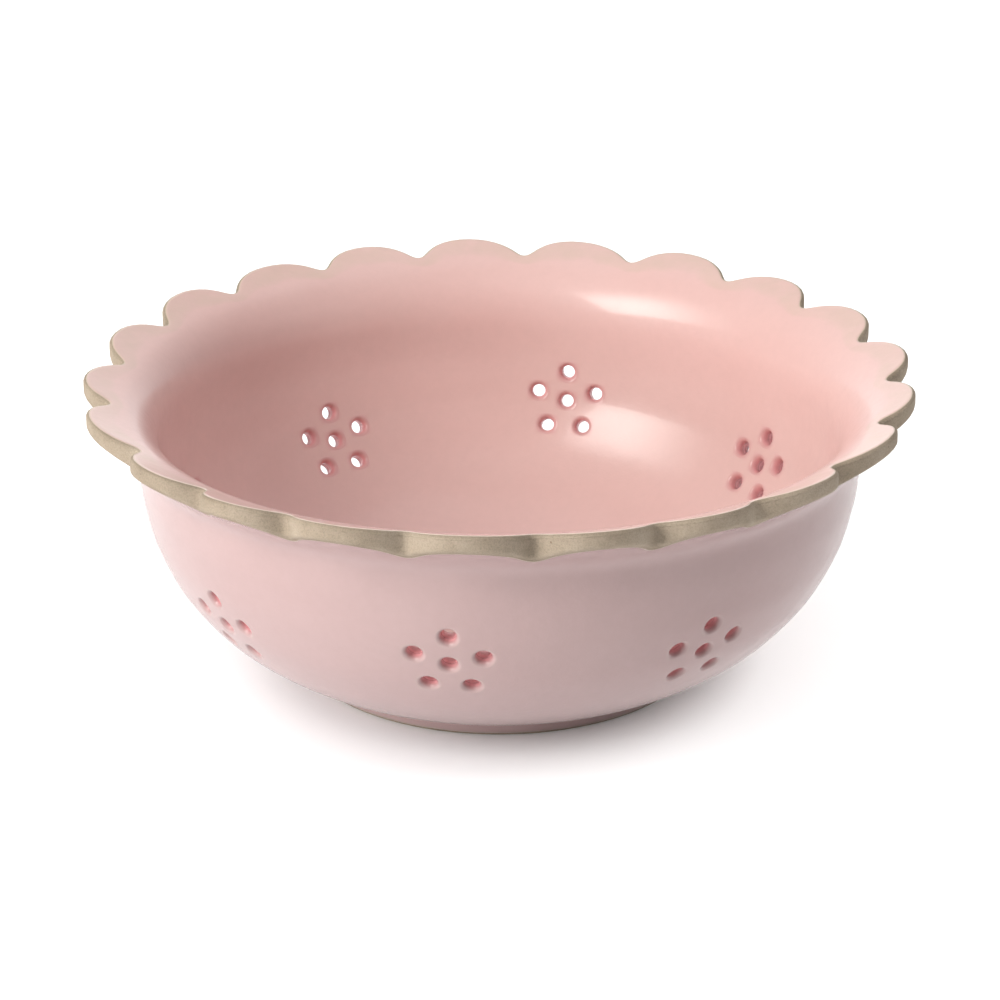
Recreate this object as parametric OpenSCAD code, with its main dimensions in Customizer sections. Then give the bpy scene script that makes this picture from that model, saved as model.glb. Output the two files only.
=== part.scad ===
// Berry colander bowl: a footed stoneware bowl with a scalloped, flared rim,
// pierced with eight five-petal flowers round the wall and one in the floor.
// Z is up, the foot stands on z = 0 and the axis of the bowl is the Z axis.
// Lengths are millimetres and angles are degrees.

/* [Bowl body] */
// Diameter of the wall at its widest, outside the glaze
belly_d = 174; // [168:1:176]
// Height at which the wall ends and the flared rim begins
wall_top = 56; // [54:0.5:57]
// Thickness of the wall, glaze on both sides included
wall_t = 5; // [4.4:0.1:5.6]
// Height of the inside floor above the table
floor_z = 8; // [7.8:0.1:8.2]
// Thickness of the glaze coat
glaze_t = 0.4; // [0.3:0.05:0.5]

/* [Scalloped rim] */
// Diameter across the tips of the scallops
rim_d = 200; // [198:1:204]
// Number of scallops cut round the rim
scallops = 21; // [18:1:24]
// How far the notches between the scallops are cut in from the tips
notch_depth = 7.2; // [6:0.1:8]
// Height of the top of the rim at the tips
rim_top = 73.2; // [72.8:0.1:73.8]
// Slope of the top of the rim
rim_slope = 20.9; // [20:0.1:22]
// Thickness of the rim at the tips, measured upright
rim_edge = 4.7; // [4:0.1:5.2]
// Radius of the bend between the inside wall and the rim
bend_r = 13; // [10:0.5:13.5]

/* [Foot ring] */
// Diameter of the foot ring where it meets the wall
foot_d = 100; // [96:1:102]
// Height of the foot ring
foot_h = 3.5; // [3.4:0.1:3.6]
// Width of the foot ring
foot_w = 6; // [5:0.5:7]
// Height of the bare line that the glaze leaves at the foot
foot_line = 0.9; // [0.6:0.1:1.4]

/* [Pierced flowers] */
// Diameter of a hole as drilled in the clay
clay_hole_d = 4.5; // [4.4:0.1:4.8]
// Diameter of a hole after glazing
hole_d = 3.7; // [3.4:0.1:4]
// Radius of the circle that the five petal holes lie on
petal_r = 8.4; // [8:0.1:9]
// Flowers round the wall
flowers = 8; // [6:1:9]

/* [Hidden] */

clay = "#bfae93";
pink_in = "#efbcb4";
pink_out = "#dfb3ae";

belly_r = belly_d / 2;
rim_r = rim_d / 2;
notch_r = rim_r - notch_depth;
foot_r = foot_d / 2;
foot_in = foot_r - foot_w;
rise = tan(rim_slope);
wall_n = 14;

// Drift of each hand-cut notch from its even place, to half a degree
notch_drift = [0.5, 0, 0, -0.5, -0.5, 0, 0, -1, -0.5, -0.5, -0.5,
               -1, 0.5, 1.5, -0.5, 0, 0.5, 0.5, -0.5, -0.5, 0.5];
// Place of each hand-pierced flower: drift from its even place, and height
flower_even = 360 / flowers;
flower_drift = [-8, -10, -12.5, -13.5, -13, -11, -10, -6.5];
flower_z = [34, 30, 30, 30, 34, 28, 30, 29.5];

// ---- curves -------------------------------------------------------------
function bez(P, t) = let (u = 1 - t)
    u*u*u*P[0] + 3*t*u*u*P[1] + 3*t*t*u*P[2] + t*t*t*P[3];
function bez_d(P, t) = let (u = 1 - t)
    3*u*u*(P[1] - P[0]) + 6*u*t*(P[2] - P[1]) + 3*t*t*(P[3] - P[2]);
function unit(v) = v / norm(v);
// Left-hand normal of a direction: it points into the bowl
function left(d) = [-d[1], d[0]];
function rev(v) = [for (i = [len(v) - 1 : -1 : 0]) v[i]];

// Outside of the wall, from the top of the foot ring to the start of the rim
WALL = [[foot_r, foot_h], [foot_r + 20, foot_h + 7.5],
        [belly_r, 27], [belly_r, wall_top]];
// Underside of the rim, from the wall to the tips
UNDER = [[belly_r, wall_top], [belly_r, wall_top + 5],
         [rim_r - 8, rim_top - rim_edge - 5], [rim_r, rim_top - rim_edge]];

function wall_at(t, in) = bez(WALL, t) + in * left(unit(bez_d(WALL, t)));
// The wall moved "in" millimetres into the bowl
function wall_line(in, from = 0) =
    [for (i = [from : wall_n]) wall_at(i / wall_n, in)];
// The underside moved "in" millimetres up into the clay
function under_line(in) =
    [for (i = [1 : 7]) bez(UNDER, i / 7) + in * left(unit(bez_d(UNDER, i / 7)))];

// Inside face above the wall, moved "out" millimetres away from the hollow:
// upright to the bend, round the bend and up the slope of the rim
function rim_inside(out) =
    let (r = belly_r - wall_t + out, b = bend_r - out,
         cx = r + b,
         ex = cx - b * sin(rim_slope),
         ez = rim_top - (rim_r - ex) * rise - out / cos(rim_slope),
         cz = ez - b * cos(rim_slope))
    concat([for (i = [0 : 6]) let (a = 180 - i * (90 - rim_slope) / 6)
                [cx + b * cos(a), cz + b * sin(a)]],
           [[rim_r + 3, rim_top + 3 * rise - out / cos(rim_slope)]]);

// Inside face of floor and wall, moved "out" millimetres away from the hollow
function bowl_inside(out) =
    concat([[0, floor_z - out], [foot_r - 7, floor_z - out],
            [foot_r - 3.2, floor_z + 0.2 - out]],
           wall_line(wall_t - out, 1));

function t_at(z, lo = 0, hi = 1, k = 24) =
    k == 0 ? (lo + hi) / 2
    : let (m = (lo + hi) / 2)
      bez(WALL, m)[1] < z ? t_at(z, m, hi, k - 1) : t_at(z, lo, m, k - 1);

// ---- scalloped outline --------------------------------------------------
function notch_a(i) =
    let (k = (i + scallops) % scallops)
    k * 360 / scallops + notch_drift[k % len(notch_drift)] + (i >= scallops ? 360 : 0);

// Plan of the rim, taken in "inset" millimetres: each scallop is the arc
// through two notches and the tip halfway between them
module scallop_plan(inset = 0) {
    circle(r = notch_r * cos(100 / scallops) - 3, $fn = 180);
    for (i = [0 : scallops - 1]) {
        a0 = notch_a(i);
        a1 = notch_a(i + 1);
        half = (a1 - a0) / 2;
        c = notch_r * sin(half);
        s = rim_r - notch_r * cos(half);
        rho = (c*c + s*s) / (2*s);
        rotate([0, 0, a0 + half]) translate([rim_r - rho, 0])
            circle(r = rho - inset, $fn = 90);
    }
}

// ---- pierced flowers ----------------------------------------------------
// A hole square to the wall: u is its place along the wall, v its place up it
module wall_hole(a, zc, u, v, d) {
    tc = t_at(zc);
    z = zc + v * unit(bez_d(WALL, tc))[1];
    t = t_at(z);
    p = bez(WALL, t);
    g = unit(bez_d(WALL, t));
    rotate([0, 0, a + u / p[0] * 180 / PI])
        translate([p[0], 0, p[1]])
            rotate([0, atan2(g[1], -g[0]), 0])
                translate([0, 0, -wall_t - 3])
                    cylinder(d = d, h = wall_t + 6, $fn = 36);
}

module holes(d) {
    for (k = [0 : flowers - 1]) {
        a = k * flower_even + flower_drift[k % 8] - 90;
        zc = flower_z[k % 8];
        wall_hole(a, zc, 0, 0, d);
        for (j = [0 : 4])
            wall_hole(a, zc, petal_r * sin(72 * j), petal_r * cos(72 * j), d);
    }
    floor_holes(d);
}

module floor_holes(d) {
    translate([0, 0, -1]) cylinder(d = d, h = floor_z + 4, $fn = 36);
    for (j = [0 : 4])
        rotate([0, 0, 72 * j + 90]) translate([petal_r, 0, -1])
            cylinder(d = d, h = floor_z + 4, $fn = 36);
}

// ---- pieces -------------------------------------------------------------
// Thrown clay: floor and wall up to the rim, pierced
module clay_bowl() {
    color(clay)
    difference() {
        rotate_extrude($fn = 180) polygon(concat(
            [[0, foot_h], [wall_at(0, glaze_t)[0], foot_h]],
            wall_line(glaze_t, 0),
            rev(bowl_inside(glaze_t))));
        holes(clay_hole_d);
    }
}

// Flared clay rim, cut into scallops; its cut edge stays bare
module scalloped_rim() {
    color(clay)
    intersection() {
        rotate_extrude($fn = 180) polygon(concat(
            [wall_at(1, wall_t - glaze_t), wall_at(1, glaze_t)],
            under_line(glaze_t),
            [bez(UNDER, 1) + [3, 1.9] + [0, glaze_t]],
            rev(rim_inside(glaze_t))));
        translate([0, 0, wall_top - 1])
            linear_extrude(height = 30) scallop_plan();
    }
}

// Turned foot ring; it stands on its bare lower edge
module foot_ring() {
    color(clay)
    rotate_extrude($fn = 180) polygon([
        [foot_in + glaze_t, 0.5], [foot_in + glaze_t + 0.5, 0],
        [foot_r - 1.6, 0], [foot_r - 1.1, 0.4],
        [foot_r - 0.8 , foot_line],
        [wall_at(0, glaze_t)[0], foot_h], [foot_in + glaze_t, foot_h]]);
}

// Glaze over the floor, the wall and the top of the rim
module inside_glaze() {
    color(pink_in)
    difference() {
        intersection() {
            rotate_extrude($fn = 180) polygon(concat(
                bowl_inside(0), rim_inside(0),
                rev(rim_inside(glaze_t)), rev(bowl_inside(glaze_t))));
            translate([0, 0, 1])
                linear_extrude(height = 90) scallop_plan(0.3);
        }
        holes(clay_hole_d);
    }
}

// Glaze over the outside of the foot ring, the wall and the rim's underside
module outside_glaze() {
    color(pink_out)
    difference() {
        intersection() {
            rotate_extrude($fn = 180) polygon(concat(
                [[foot_r - 0.8, foot_line]],
                [for (p = [[foot_r - 0.4, foot_line + 0.1]]) p],
                wall_line(0, 0), under_line(0),
                [bez(UNDER, 1) + [3, 1.9]],
                [bez(UNDER, 1) + [3, 1.9] + [0, glaze_t]],
                rev(under_line(glaze_t)), rev(wall_line(glaze_t, 0)),
                [[wall_at(0, glaze_t)[0], foot_h]]));
            linear_extrude(height = 90) scallop_plan(0.5);
        }
        holes(clay_hole_d);
    }
}

// Glaze that lines each hole, one sleeve to a hole
module hole_glaze_linings() {
    color(pink_in)
    intersection() {
        rotate_extrude($fn = 180) polygon(concat(
            [[0, foot_h - glaze_t], [foot_in, foot_h - glaze_t],
             [foot_in + 1, foot_h]],
            wall_line(0, 0), rev(bowl_inside(0))));
        difference() {
            holes(clay_hole_d);
            holes(hole_d);
        }
    }
}

// Glaze on the underside of the floor, inside the foot ring
module foot_well_glaze() {
    color(pink_out)
    difference() {
        rotate_extrude($fn = 180) polygon([
            [0, foot_h], [0, foot_h - glaze_t],
            [foot_in - 0.5, foot_h - glaze_t], [foot_in, foot_h - glaze_t - 0.5],
            [foot_in, foot_line], [foot_in + glaze_t, foot_line - 0.1],
            [foot_in + glaze_t, foot_h]]);
        floor_holes(clay_hole_d);
    }
}

clay_bowl();
scalloped_rim();
foot_ring();
inside_glaze();
outside_glaze();
hole_glaze_linings();
foot_well_glaze();
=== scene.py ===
import math

import bmesh
import bpy
import numpy as np
from mathutils import Matrix, Vector
from mathutils.geometry import delaunay_2d_cdt


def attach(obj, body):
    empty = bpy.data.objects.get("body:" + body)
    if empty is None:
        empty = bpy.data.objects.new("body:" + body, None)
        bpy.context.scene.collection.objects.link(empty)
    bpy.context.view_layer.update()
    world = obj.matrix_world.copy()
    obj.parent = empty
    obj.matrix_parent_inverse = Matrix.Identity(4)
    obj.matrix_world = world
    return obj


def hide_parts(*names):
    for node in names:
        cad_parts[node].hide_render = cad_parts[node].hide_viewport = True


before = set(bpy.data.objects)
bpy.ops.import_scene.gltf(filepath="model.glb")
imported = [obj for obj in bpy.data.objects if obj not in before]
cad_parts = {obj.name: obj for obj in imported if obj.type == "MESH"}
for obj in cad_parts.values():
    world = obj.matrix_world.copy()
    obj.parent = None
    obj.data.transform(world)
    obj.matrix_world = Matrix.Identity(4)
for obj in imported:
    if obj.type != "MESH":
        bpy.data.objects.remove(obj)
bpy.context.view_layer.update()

MM = 0.001
TAU = 2 * math.pi

# ------------------------------------------------------------------ sizes, mm
SCALLOPS, K = 21, 20          # scallops, and mesh columns to a scallop
COLS = SCALLOPS * K
TIP_R, NOTCH_R = 100.0, 91.3   # tips, and the sharp notch before it is rounded
FULL_P, FULL_Q = 2.25, 0.72    # how full a scallop is between its notches
SOFT = 0.8                     # how far the notches are softened, in degrees round the rim
SKEW = [0.1, 0.1, 0.1, -0.05, -0.1, -0.1, -0.05, 0, 0.05, 0, -0.15,
        0.05, -0.05, 0.1, 0, 0.05, -0.05, 0.05, 0, -0.1, 0.05]
DRIFT = [0.5, 0, 0, -0.5, -0.5, 0, 0, -1, -0.5, -0.5, -0.5,
         -1, 0.5, 1.5, -0.5, 0, 0.5, 0.5, -0.5, -0.5, 0.5]
RIM_TOP, RISE, RIM_EDGE = 73.2, math.tan(math.radians(20.9)), 4.05
WALL_T, GLAZE, WALL_TOP = 5.0, 0.4, 56.0
BELLY, FOOT_R, FOOT_H, FOOT_IN = 87.0, 50.0, 3.5, 44.0
FLOOR_Z = 8.0
BORE, PETAL_R = 1.70, 8.4
LIP_W, LIP_D = 1.25, 1.80      # width and depth of the rounded mouth of a hole
LIP_DEPTH = 2.1
LIP_THIN, POOLED_AND_SHADED = 0.40, -0.8   # the coat's thinness on a lip, and in a bore, where it is thick and painted shade darkens it
FLOWER_DRIFT = [-8, -10, -12.5, -13.5, -13, -11, -10, -6.5]
FLOWER_Z = [34, 30, 30, 30, 34, 28, 30, 29.5]

WALL = np.array([(FOOT_R, FOOT_H), (FOOT_R + 20, FOOT_H + 7.5), (BELLY, 27.0), (BELLY, WALL_TOP)])
UNDER = np.array([(BELLY, WALL_TOP), (BELLY, WALL_TOP + 5),
                  (TIP_R - 8, RIM_TOP - RIM_EDGE - 5), (TIP_R, RIM_TOP - RIM_EDGE)])


def bez(P, t):
    t = np.asarray(t, float)[..., None]
    return (1 - t)**3 * P[0] + 3 * t * (1 - t)**2 * P[1] + 3 * t * t * (1 - t) * P[2] + t**3 * P[3]


def bez_d(P, t):
    t = np.asarray(t, float)[..., None]
    d = 3 * (1 - t)**2 * (P[1] - P[0]) + 6 * t * (1 - t) * (P[2] - P[1]) + 3 * t * t * (P[3] - P[2])
    return d / np.linalg.norm(d, axis=-1, keepdims=True)


_tt = np.linspace(0, 1, 2001)
_wp = bez(WALL, _tt)
_ws = np.r_[0, np.cumsum(np.linalg.norm(np.diff(_wp, axis=0), axis=1))]
WALL_LEN = _ws[-1]


def wall_s(z):
    return np.interp(z, _wp[:, 1], _ws)


def smooth01(x):
    x = np.clip(x, 0, 1)
    return x * x * (3 - 2 * x)


# --------------------------------------------------------- hand-made wander
def wander(p):
    """The slight out-of-round and lift that a hand-finished bowl has, as a smooth move of every point."""
    x, y, z = p[..., 0], p[..., 1], p[..., 2]
    a = np.arctan2(y, x)
    r = np.hypot(x, y)
    h = smooth01(z / 70.0)
    out = smooth01((r - 20) / 60.0)
    dr = h * out * (0.22 * np.cos(2 * a - 0.6) + 0.14 * np.cos(3 * a + 1.1) + 0.07 * np.sin(5 * a + 0.4))
    dr = dr + out * 0.06 * np.sin(0.55 * z + 1.3 * np.sin(a + 0.5)) * smooth01((58 - z) / 12)
    dz = smooth01((z - 30) / 40) * (0.30 * np.sin(a) + 0.10 * np.cos(3 * a - 0.9) + 0.08 * np.sin(4 * a + 2.0))
    k = 1 + np.where(r > 1e-6, dr / np.maximum(r, 1e-6), 0)
    return np.stack([x * k, y * k, z + dz], -1)


# ------------------------------------------------------ outline of the rim
def notch_angle(i):
    k = i % SCALLOPS
    return math.radians(k * 360 / SCALLOPS + DRIFT[k]) + TAU * (i // SCALLOPS)


def outline():
    """Base point, outward normal and azimuth of each mesh column round the cut edge. Every inset of the outline is base - d * normal."""
    m = SCALLOPS * 384
    th = TAU * np.arange(m) / m
    notch = np.array([notch_angle(i) for i in range(-1, SCALLOPS + 2)])
    at = np.searchsorted(notch, th, side="right") - 1
    i = (at - 1) % SCALLOPS
    u = 2 * (th - notch[at]) / (notch[at + 1] - notch[at]) - 1
    w = (u + 1) / 2
    u = u + np.array(SKEW)[i] * (1 - u * u)
    # small differences between one hand-cut scallop and the next
    tip = TIP_R + 0.28 * np.sin(2.4 * i + 0.7) - 0.1
    deep = [NOTCH_R + 0.35 * math.sin(1.7 * k + 2.0) + 0.45 * math.sin(notch_angle(k)) for k in range(SCALLOPS + 1)]
    low = np.array(deep)[i] * (1 - w) + np.array(deep)[(i + 1) % SCALLOPS] * w
    r = low + (tip - low) * np.clip(1 - np.abs(u)**FULL_P, 0, 1)**FULL_Q
    f = np.fft.rfftfreq(m, d=360 / m)
    r = np.fft.irfft(np.fft.rfft(r) * np.exp(-2 * (math.pi * f * SOFT)**2), m)
    x, y = r * np.cos(th), r * np.sin(th)
    tx, ty = np.roll(x, -1) - np.roll(x, 1), np.roll(y, -1) - np.roll(y, 1)
    ln = np.hypot(tx, ty)
    nx, ny = ty / ln, -tx / ln
    # lowest point near each notch, and lengths along the outline
    low_at = []
    for k in range(SCALLOPS):
        off = (th - notch_angle(k) + math.pi) % TAU - math.pi
        near = np.where(np.abs(off) < 0.06)[0]
        low_at.append(int(near[np.argmin(r[near])]))
    s = np.r_[0, np.cumsum(np.hypot(np.diff(np.r_[x, x[0]]), np.diff(np.r_[y, y[0]])))]
    total = s[-1]
    base, normal, azim = np.zeros((COLS, 2)), np.zeros((COLS, 2)), np.zeros(COLS)
    xs, ys = np.r_[x, x[0]], np.r_[y, y[0]]
    nxs, nys, ths = np.r_[nx, nx[0]], np.r_[ny, ny[0]], np.r_[th, TAU]
    for k in range(SCALLOPS):
        s0, s1 = s[low_at[k]], s[low_at[(k + 1) % SCALLOPS]]
        if s1 < s0:
            s1 += total
        q = np.arange(K) / K
        q = q - 0.095 * np.sin(TAU * q)          # closer columns beside the notches
        at_s = (s0 + (s1 - s0) * q) % total
        row = slice(k * K, (k + 1) * K)
        base[row] = np.stack([np.interp(at_s, s, xs), np.interp(at_s, s, ys)], -1)
        n = np.stack([np.interp(at_s, s, nxs), np.interp(at_s, s, nys)], -1)
        normal[row] = n / np.linalg.norm(n, axis=1, keepdims=True)
    for k in range(SCALLOPS):
        a0, a1 = notch_angle(k), notch_angle(k + 1)
        azim[k * K:(k + 1) * K] = a0 + (a1 - a0) * np.arange(K) / K
    print("OUTLINE notches %.2f to %.2f, tips %.2f to %.2f" % (r[low_at].min(), r[low_at].max(), r.max(), np.sort(r)[-1]))
    return base, normal, azim


BASE, NORMAL, AZ = outline()
CS, SN = np.cos(AZ), np.sin(AZ)


def top_z(r):
    """Glazed top of the flange."""
    return RIM_TOP - (TIP_R - r) * RISE


_uu = bez(UNDER, np.linspace(0, 1.12, 900))


def under_z(r):
    """Glazed underside of the flange."""
    return np.interp(r, _uu[:, 0], _uu[:, 1])


# ------------------------------------------------------------------ the grid
# wall rows, as lengths along the outside wall: close together where it is pierced
lo_s, hi_s = wall_s(17.0), wall_s(47.0)
n_mid = int(round((hi_s - lo_s) / 1.09))
ROW_S = np.r_[np.linspace(0, lo_s, 12)[:-1], np.linspace(lo_s, hi_s, n_mid + 1),
              np.linspace(hi_s, WALL_LEN, 7)[1:]]
ROWS = len(ROW_S)


def wall_frame(s):
    t = np.interp(s, _ws, _tt)
    p, g = bez(WALL, t), bez_d(WALL, t)
    return p, g


def wall_point(az, s, side):
    """Point and normal of the glazed wall at azimuth az and length s, outside or inside."""
    p, g = wall_frame(s)
    n = np.stack([g[..., 1], -g[..., 0]], -1)
    if side == "in":
        p = p - WALL_T * n
        n = -n
    c, s_ = np.cos(az), np.sin(az)
    pos = np.stack([p[..., 0] * c, p[..., 0] * s_, p[..., 1] + 0 * c], -1)
    nor = np.stack([n[..., 0] * c, n[..., 0] * s_, n[..., 1] + 0 * c], -1)
    return pos, nor


# holes through the wall: azimuth and length along the wall of each
HOLES = []
for f in range(8):
    a = math.radians(f * 45 + FLOWER_DRIFT[f] - 90)
    zc = FLOWER_Z[f]
    s_c = float(wall_s(zc))
    tz = float(wall_frame(s_c)[1][1])
    turn = math.radians([1.3, 1.0, -1.5, 0.5, 1.0, -0.7, 1.2, -0.6][f])
    for j in range(6):
        if j == 5:
            u = v = 0.0
        else:
            b = math.radians(72 * j) + turn
            u, v = PETAL_R * math.sin(b), PETAL_R * math.cos(b)
        s_h = float(wall_s(zc + v * tz))
        r_h = float(wall_frame(s_h)[0][0])
        HOLES.append((a + u / r_h, s_h, r_h))

# move the grid a little so that a grid point lies at each hole's centre
az_grid = np.repeat(AZ[None, :], ROWS, 0)
s_grid = np.repeat(ROW_S[:, None], COLS, 1)
CENTRE = []
move = np.zeros((ROWS, COLS, 2))
weight = np.zeros((ROWS, COLS))
for a, s_h, r_h in HOLES:
    da = (AZ - a + math.pi) % TAU - math.pi
    k0, j0 = int(np.argmin(abs(da))), int(np.argmin(abs(ROW_S - s_h)))
    CENTRE.append((j0, k0))
for h, (a, s_h, r_h) in enumerate(HOLES):
    j0, k0 = CENTRE[h]
    da = (AZ - AZ[k0] + math.pi) % TAU - math.pi
    dist2 = (da[None, :] * r_h)**2 + (ROW_S[:, None] - ROW_S[j0])**2
    w = np.exp(-dist2 / 3.4**2)
    off = (a - AZ[k0] + math.pi) % TAU - math.pi
    move[..., 0] += w * off
    move[..., 1] += w * (s_h - ROW_S[j0])
    weight += w
move /= np.maximum(weight, 1)[..., None]
az_grid = az_grid + move[..., 0]
s_grid = s_grid + move[..., 1]
USED = np.zeros((ROWS - 1, COLS), bool)     # cells given over to holes
for j0, k0 in CENTRE:
    for j in range(j0 - 3, j0 + 3):
        for k in range(k0 - 3, k0 + 3):
            assert not USED[j, k % COLS], "pierced blocks overlap"
            USED[j, k % COLS] = True


class Build:
    """Collects points and faces of one piece."""

    def __init__(self):
        self.p, self.f, self.w, self.n = [], [], [], 0

    def add(self, pts, thin=0.0):
        pts = np.asarray(pts, float)
        shape = pts.shape[:-1]
        flat = pts.reshape(-1, 3)
        self.p.append(flat)
        self.w.append(np.broadcast_to(np.asarray(thin, float), shape).reshape(-1))
        ids = np.arange(self.n, self.n + len(flat)).reshape(shape)
        self.n += len(flat)
        return ids

    def strip(self, a, b, flip=False, closed=True):
        """Quads between two rings of equal count."""
        a2 = np.roll(a, -1) if closed else a[1:]
        b2 = np.roll(b, -1) if closed else b[1:]
        a1, b1 = (a, b) if closed else (a[:-1], b[:-1])
        q = np.stack([a1, a2, b2, b1], -1)
        self.f.extend((q[:, ::-1] if flip else q).tolist())

    def halve(self, fine, coarse, flip=False):
        """Faces between a ring and one of half its count."""
        n = len(coarse)
        for i in range(n):
            c0, c1 = coarse[i], coarse[(i + 1) % n]
            f0, f1, f2 = fine[2 * i], fine[2 * i + 1], fine[(2 * i + 2) % (2 * n)]
            for face in ((f0, f1, c0), (f1, f2, c1, c0)):
                self.f.append([int(v) for v in (face[::-1] if flip else face)])

    def grid(self, ids, used=None, flip=False):
        for j in range(len(ids) - 1):
            a, b = ids[j], ids[j + 1]
            q = np.stack([a, np.roll(a, -1), np.roll(b, -1), b], -1)
            if used is not None:
                q = q[~used[j]]
            self.f.extend((q[:, ::-1] if flip else q).tolist())

    def mesh(self, name, body_points=True):
        pts = np.concatenate(self.p)
        thin = np.concatenate(self.w)
        pts = wander(pts) * MM
        used = np.zeros(len(pts), bool)
        for face in self.f:
            used[face] = True
        remap = np.cumsum(used) - 1
        faces = [[int(remap[v]) for v in face] for face in self.f]
        me = bpy.data.meshes.new(name)
        me.from_pydata(pts[used].tolist(), [], faces)
        me.update()
        bm = bmesh.new()
        bm.from_mesh(me)
        bmesh.ops.recalc_face_normals(bm, faces=bm.faces)
        open_edges = sum(1 for e in bm.edges if not e.is_manifold)
        bm.to_mesh(me)
        bm.free()
        at = me.attributes.new("thin", "FLOAT", "POINT")
        at.data.foreach_set("value", thin[used].astype(np.float32))
        me.polygons.foreach_set("use_smooth", np.ones(len(me.polygons), bool))
        me.update()
        o = bpy.data.objects.new(name, me)
        bpy.context.scene.collection.objects.link(o)
        print("PIECE", name, "points", len(me.vertices), "faces", len(me.polygons), "open edges", open_edges)
        return o


def grid_normals(P, closed=True):
    """Normals of a point grid [row, column], with rows running up or out and columns round."""
    dj = np.gradient(P, axis=0)
    dk = np.roll(P, -1, 1) - np.roll(P, 1, 1)
    n = np.cross(dk, dj)
    return n / np.maximum(np.linalg.norm(n, axis=-1, keepdims=True), 1e-12)


# lip of a hole: radius from the axis, depth below the surface, slope angle
LIP_ROWS = []
for deg in (0, 10, 20, 31, 43, 56, 70, 90):
    b = math.radians(deg)
    LIP_ROWS.append((BORE + LIP_W * (1 - math.sin(b)), LIP_D * (1 - math.cos(b)),
                     math.atan2(LIP_D * math.sin(b), LIP_W * math.cos(b))))
RING = 48
RING_A = math.radians(45) + TAU * np.arange(RING) / RING


def ring_on_wall(hole, radius, side):
    """Points and normals of a circle round a hole's axis, on the glazed wall."""
    a, s_h, r_h = hole
    u, v = radius * np.cos(RING_A), radius * np.sin(RING_A)
    s = s_h + v
    p, _ = wall_frame(s)
    return wall_point(a + u / p[:, 0], s, side)


def lip_thin(b, side="out"):
    """Outside the coat is thin on the shoulder of the lip, then full, then thick down in the bore, where it pools; the
    bore's deeper colour there is partly pooling and partly painted shade. Inside it has run together round the whole
    mouth, and the darker ring this gives is partly pooling and partly painted shade.
    """
    if side == "in":
        return -0.45 - 0.35 * smooth01(b / math.radians(80))
    return LIP_THIN * (1 - smooth01(b / math.radians(48))) + POOLED_AND_SHADED * smooth01((b - math.radians(38)) / math.radians(52))


def pierce(build, hole, centre, ids, side, layer, thin_on=True):
    """Fills one hole's block: grid edge, two rings, the rounded lip and the start of the bore. Returns the last ring."""
    j0, k0 = centre
    # the block's edge, anticlockwise from the corner at +azimuth, +length
    edge = [(j0 + 3, k0 + 3 - i) for i in range(6)] + [(j0 + 3 - i, k0 - 3) for i in range(6)] \
        + [(j0 - 3, k0 - 3 + i) for i in range(6)] + [(j0 - 3 + i, k0 + 3) for i in range(6)]
    outer = np.array([ids[j, k % COLS] for j, k in edge])
    ea = np.array([az_grid[j, k % COLS] for j, k in edge])
    es = np.array([s_grid[j, k % COLS] for j, k in edge])
    a, s_h, r_h = hole
    ea = a + (ea - a + math.pi) % TAU - math.pi
    mid_a, mid_s = (ea + np.roll(ea, -1)) / 2, (es + np.roll(es, -1)) / 2
    full_a, full_s = np.stack([ea, mid_a], 1).ravel(), np.stack([es, mid_s], 1).ravel()
    t_in = GLAZE if layer == "clay" else 0.0
    last = None
    r0 = LIP_ROWS[0][0]
    ring_u, ring_v = r0 * np.cos(RING_A), r0 * np.sin(RING_A)
    for w in (0.55, 0.22):
        s = s_h + ring_v + (full_s - s_h - ring_v) * w
        p, _ = wall_frame(s)
        aa = a + ring_u / p[:, 0] + (full_a - a - ring_u / p[:, 0]) * w
        pos, nor = wall_point(aa, s, side)
        # inside, the rings round each hole are set below zero: pooling and painted shade, a darker ring round the mouth
        ring = build.add(pos - t_in * nor, {"out": (0.12, 0.30), "in": (-0.06, -0.22)}[side][int(w < 0.3)])
        if last is None:
            build.halve(ring, outer)
        else:
            build.strip(last, ring)
        last = ring
    axis = wall_point(np.array([a]), np.array([s_h]), side)[1][0]
    for radius, depth, b in LIP_ROWS + [(BORE, LIP_DEPTH, math.pi / 2)]:
        pos, nor = ring_on_wall(hole, radius, side)
        ctr = wall_point(np.array([a]), np.array([s_h]), side)[0][0]
        away = pos - ctr
        away = away - (away @ axis)[:, None] * axis
        away /= np.linalg.norm(away, axis=1, keepdims=True)
        n = math.cos(b) * nor - math.sin(b) * away
        pos = pos - depth * axis - t_in * n
        ring = build.add(pos, lip_thin(b, side) if depth < LIP_DEPTH else POOLED_AND_SHADED)
        build.strip(last, ring)
        last = ring
    return last


# ------------------------------------------------- surfaces, inside and out
def ring_pts(r, z):
    return np.stack([r * CS, r * SN, np.full(COLS, z)], -1)


def inset_pts(d, zfun, w=0.0, circle_r=0.0):
    """The outline taken in by d, moved by w towards a circle."""
    xy = BASE - d * NORMAL
    if w:
        xy = xy * (1 - w) + np.stack([CS, SN], -1) * circle_r * w
    return np.concatenate([xy, zfun(np.hypot(xy[:, 0], xy[:, 1]))[:, None]], 1)


IN_R = BELLY - WALL_T
EDGE_R = 1.5                   # rounding of the rim's top edge
# the bend between wall and flange is tighter on one side than on the other
BEND_R = 15.5 + 3.5 * np.cos(AZ - math.radians(40))
bend_cx = IN_R + BEND_R
bend_end_r = bend_cx - BEND_R * math.sin(math.atan(RISE))
bend_cz = top_z(bend_end_r) - BEND_R * math.cos(math.atan(RISE))



def surf_z(r):
    """Glazed top, from the bend out to the edge."""
    arc = bend_cz + np.sqrt(np.maximum(BEND_R**2 - (bend_cx - np.minimum(r, bend_end_r))**2, 0))
    return np.where(r < bend_end_r, arc, top_z(r))


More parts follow.
